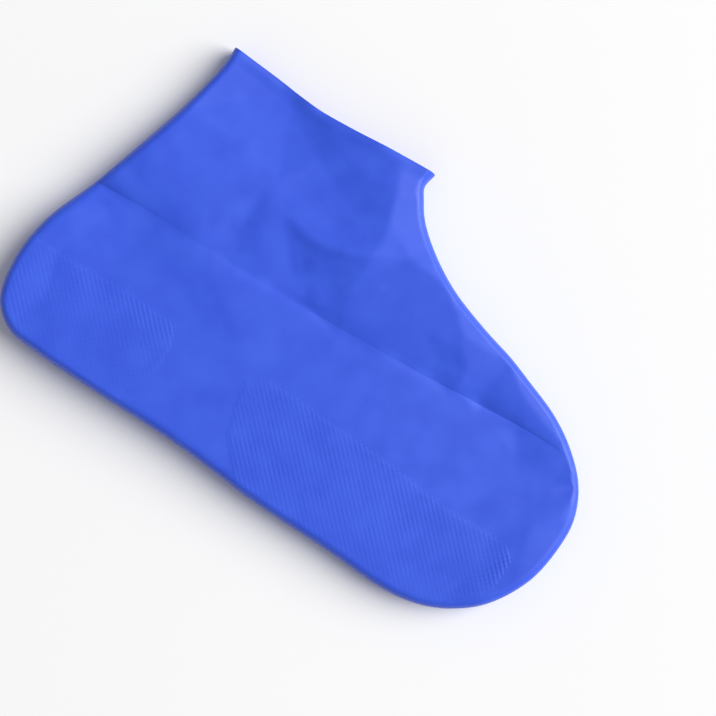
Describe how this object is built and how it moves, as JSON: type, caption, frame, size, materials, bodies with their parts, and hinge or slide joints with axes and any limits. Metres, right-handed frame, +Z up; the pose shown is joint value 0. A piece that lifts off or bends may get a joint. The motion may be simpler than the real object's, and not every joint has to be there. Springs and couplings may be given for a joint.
{
  "type": "reusable latex shoe cover",
  "caption": "Stretchy dip-moulded overshoe for one shoe, lying flat on its side: open ankle mouth, moulded sole crease and two finely ribbed tread fields.",
  "frame": {"origin": "middle of the cover's box, on the surface that it lies on", "axes": "+X from heel to toe, +Y from the fold of the sole to the mouth, +Z up from the surface"},
  "size_m": [0.283, 0.174, 0.0198],
  "materials": {
    "latex": "matte to satin dipped rubber, deep blue"
  },
  "bodies": {
    "root": {"shoe_cover": "latex"}
  },
  "joints": []
}
